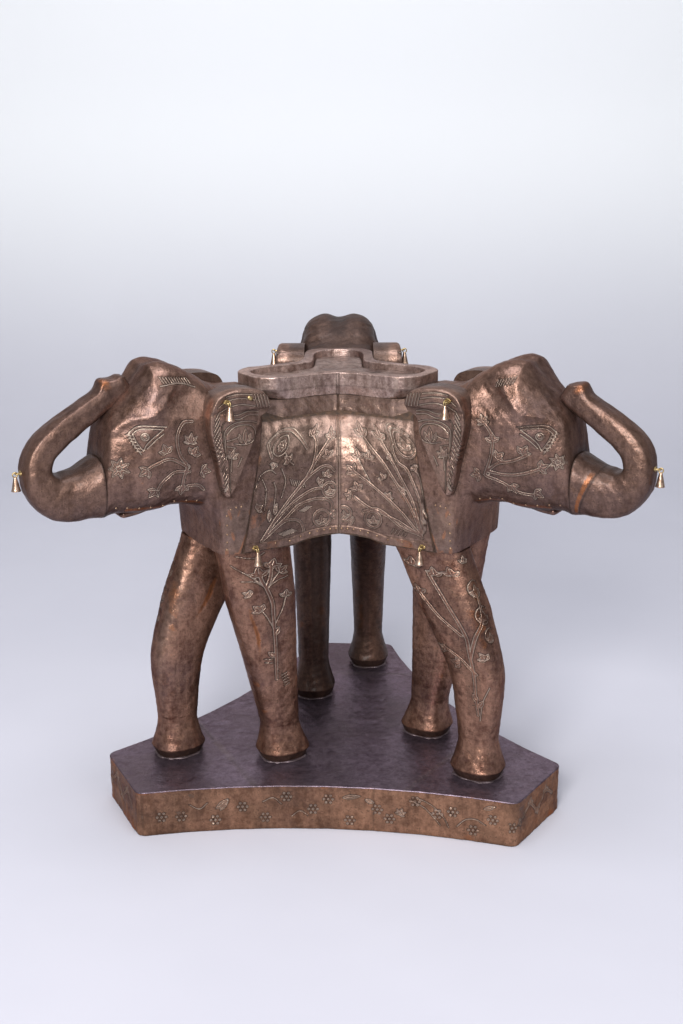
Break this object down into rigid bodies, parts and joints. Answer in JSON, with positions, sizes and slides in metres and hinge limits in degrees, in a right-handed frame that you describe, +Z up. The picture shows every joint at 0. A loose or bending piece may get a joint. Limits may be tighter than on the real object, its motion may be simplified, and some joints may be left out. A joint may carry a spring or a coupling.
{
  "type": "elephant coffee table",
  "caption": "Low table base of elephant foreparts joined back to back on a plinth, carved wood under chased dark copper sheet, with a rimmed tray on top and small hanging bells.",
  "frame": {"origin": "on the floor under the table's axis, on the plinth's underside", "axes": "+Z up, +Y from the axis towards the trunk of the rear elephant, so -Y faces the hollow side of the plinth that the picture shows"},
  "size_m": [0.5839, 0.5149, 0.4585],
  "materials": {
    "core_wood": "plain sawn hardwood, hidden under sheet",
    "clad_wood": "carved wood clad with thin patinated copper sheet",
    "chased_clad_wood": "carved wood clad with thin patinated copper sheet, chased",
    "chased_copper_sheet": "thin patinated copper sheet, chased with vines",
    "plinth_copper_sheet": "thin patinated copper sheet, warm brown",
    "bell_metal": "worn coppery bell metal",
    "wire_metal": "tarnished wire"
  },
  "bodies": {
    "table": {"body_block": "clad_wood", "left_elephant_back_leg": "clad_wood", "left_elephant_forward_leg": "clad_wood", "left_elephant_head": "clad_wood", "left_elephant_left_ear": "chased_clad_wood", "left_elephant_left_ear_bell_staple": "wire_metal", "left_elephant_left_flank_panel": "chased_copper_sheet", "left_elephant_left_hem_bell_staple": "wire_metal", "left_elephant_right_ear": "chased_clad_wood", "left_elephant_right_ear_bell_staple": "wire_metal", "left_elephant_right_flank_panel": "chased_copper_sheet", "left_elephant_right_hem_bell_staple": "wire_metal", "left_elephant_trunk": "clad_wood", "left_elephant_trunk_bell_staple": "wire_metal", "plinth_core": "core_wood", "plinth_edge_band": "plinth_copper_sheet", "plinth_top_sheet": "plinth_copper_sheet", "rear_elephant_back_leg": "clad_wood", "rear_elephant_forward_leg": "clad_wood", "rear_elephant_head": "clad_wood", "rear_elephant_left_ear": "chased_clad_wood", "rear_elephant_left_ear_bell_staple": "wire_metal", "rear_elephant_left_flank_panel": "chased_copper_sheet", "rear_elephant_left_hem_bell_staple": "wire_metal", "rear_elephant_right_ear": "chased_clad_wood", "rear_elephant_right_ear_bell_staple": "wire_metal", "rear_elephant_right_flank_panel": "chased_copper_sheet", "rear_elephant_right_hem_bell_staple": "wire_metal", "rear_elephant_trunk": "clad_wood", "rear_elephant_trunk_bell_staple": "wire_metal", "right_elephant_back_leg": "clad_wood", "right_elephant_forward_leg": "clad_wood", "right_elephant_head": "clad_wood", "right_elephant_left_ear": "chased_clad_wood", "right_elephant_left_ear_bell_staple": "wire_metal", "right_elephant_left_flank_panel": "chased_copper_sheet", "right_elephant_left_hem_bell_staple": "wire_metal", "right_elephant_right_ear": "chased_clad_wood", "right_elephant_right_ear_bell_staple": "wire_metal", "right_elephant_right_flank_panel": "chased_copper_sheet", "right_elephant_right_hem_bell_staple": "wire_metal", "right_elephant_trunk": "clad_wood", "right_elephant_trunk_bell_staple": "wire_metal", "saddle_block": "clad_wood", "tray": "chased_clad_wood"},
    "left_elephant_left_ear_bell": {"left_elephant_left_ear_bell": "bell_metal"},
    "left_elephant_left_hem_bell": {"left_elephant_left_hem_bell": "bell_metal"},
    "left_elephant_right_ear_bell": {"left_elephant_right_ear_bell": "bell_metal"},
    "left_elephant_right_hem_bell": {"left_elephant_right_hem_bell": "bell_metal"},
    "left_elephant_trunk_bell": {"left_elephant_trunk_bell": "bell_metal"},
    "rear_elephant_left_ear_bell": {"rear_elephant_left_ear_bell": "bell_metal"},
    "rear_elephant_left_hem_bell": {"rear_elephant_left_hem_bell": "bell_metal"},
    "rear_elephant_right_ear_bell": {"rear_elephant_right_ear_bell": "bell_metal"},
    "rear_elephant_right_hem_bell": {"rear_elephant_right_hem_bell": "bell_metal"},
    "rear_elephant_trunk_bell": {"rear_elephant_trunk_bell": "bell_metal"},
    "right_elephant_left_ear_bell": {"right_elephant_left_ear_bell": "bell_metal"},
    "right_elephant_left_hem_bell": {"right_elephant_left_hem_bell": "bell_metal"},
    "right_elephant_right_ear_bell": {"right_elephant_right_ear_bell": "bell_metal"},
    "right_elephant_right_hem_bell": {"right_elephant_right_hem_bell": "bell_metal"},
    "right_elephant_trunk_bell": {"right_elephant_trunk_bell": "bell_metal"}
  },
  "joints": [
    {"name": "left_elephant_left_ear_bell_swing", "type": "hinge", "parent": "table", "child": "left_elephant_left_ear_bell", "pos_m": [-0.09668, -0.13954, 0.426], "axis": [-0.866, -0.5, 0], "range_deg": [-4, 70]},
    {"name": "left_elephant_left_hem_bell_swing", "type": "hinge", "parent": "table", "child": "left_elephant_left_hem_bell", "pos_m": [-0.07639, -0.11806, 0.28146], "axis": [-0.8703, -0.4925, 0], "range_deg": [-4, 70]},
    {"name": "left_elephant_right_ear_bell_swing", "type": "hinge", "parent": "table", "child": "left_elephant_right_ear_bell", "pos_m": [-0.16919, -0.01396, 0.426], "axis": [0.866, 0.5, 0], "range_deg": [-4, 70]},
    {"name": "left_elephant_right_hem_bell_swing", "type": "hinge", "parent": "table", "child": "left_elephant_right_hem_bell", "pos_m": [-0.14044, -0.00713, 0.28146], "axis": [0.8616, 0.5075, 0], "range_deg": [-4, 70]},
    {"name": "left_elephant_trunk_bell_swing", "type": "hinge", "parent": "table", "child": "left_elephant_trunk_bell", "pos_m": [-0.28767, -0.16609, 0.36891], "axis": [-0.5, 0.866, 0], "range_deg": [-4, 70]},
    {"name": "rear_elephant_left_ear_bell_swing", "type": "hinge", "parent": "table", "child": "rear_elephant_left_ear_bell", "pos_m": [-0.0725, 0.1535, 0.426], "axis": [0, 1, 0], "range_deg": [-4, 70]},
    {"name": "rear_elephant_left_hem_bell_swing", "type": "hinge", "parent": "table", "child": "rear_elephant_left_hem_bell", "pos_m": [-0.06405, 0.12518, 0.28146], "axis": [0.0087, 1, 0], "range_deg": [-4, 70]},
    {"name": "rear_elephant_right_ear_bell_swing", "type": "hinge", "parent": "table", "child": "rear_elephant_right_ear_bell", "pos_m": [0.0725, 0.1535, 0.426], "axis": [0, -1, 0], "range_deg": [-4, 70]},
    {"name": "rear_elephant_right_hem_bell_swing", "type": "hinge", "parent": "table", "child": "rear_elephant_right_hem_bell", "pos_m": [0.06405, 0.12518, 0.28146], "axis": [0.0087, -1, 0], "range_deg": [-4, 70]},
    {"name": "rear_elephant_trunk_bell_swing", "type": "hinge", "parent": "table", "child": "rear_elephant_trunk_bell", "pos_m": [0, 0.33217, 0.36891], "axis": [1, 0, 0], "range_deg": [-4, 70]},
    {"name": "right_elephant_left_ear_bell_swing", "type": "hinge", "parent": "table", "child": "right_elephant_left_ear_bell", "pos_m": [0.16919, -0.01396, 0.426], "axis": [0.866, -0.5, 0], "range_deg": [-4, 70]},
    {"name": "right_elephant_left_hem_bell_swing", "type": "hinge", "parent": "table", "child": "right_elephant_left_hem_bell", "pos_m": [0.14044, -0.00713, 0.28146], "axis": [0.8616, -0.5075, 0], "range_deg": [-4, 70]},
    {"name": "right_elephant_right_ear_bell_swing", "type": "hinge", "parent": "table", "child": "right_elephant_right_ear_bell", "pos_m": [0.09668, -0.13954, 0.426], "axis": [-0.866, 0.5, 0], "range_deg": [-4, 70]},
    {"name": "right_elephant_right_hem_bell_swing", "type": "hinge", "parent": "table", "child": "right_elephant_right_hem_bell", "pos_m": [0.07639, -0.11806, 0.28146], "axis": [-0.8703, 0.4925, 0], "range_deg": [-4, 70]},
    {"name": "right_elephant_trunk_bell_swing", "type": "hinge", "parent": "table", "child": "right_elephant_trunk_bell", "pos_m": [0.28767, -0.16609, 0.36891], "axis": [-0.5, -0.866, 0], "range_deg": [-4, 70]}
  ]
}
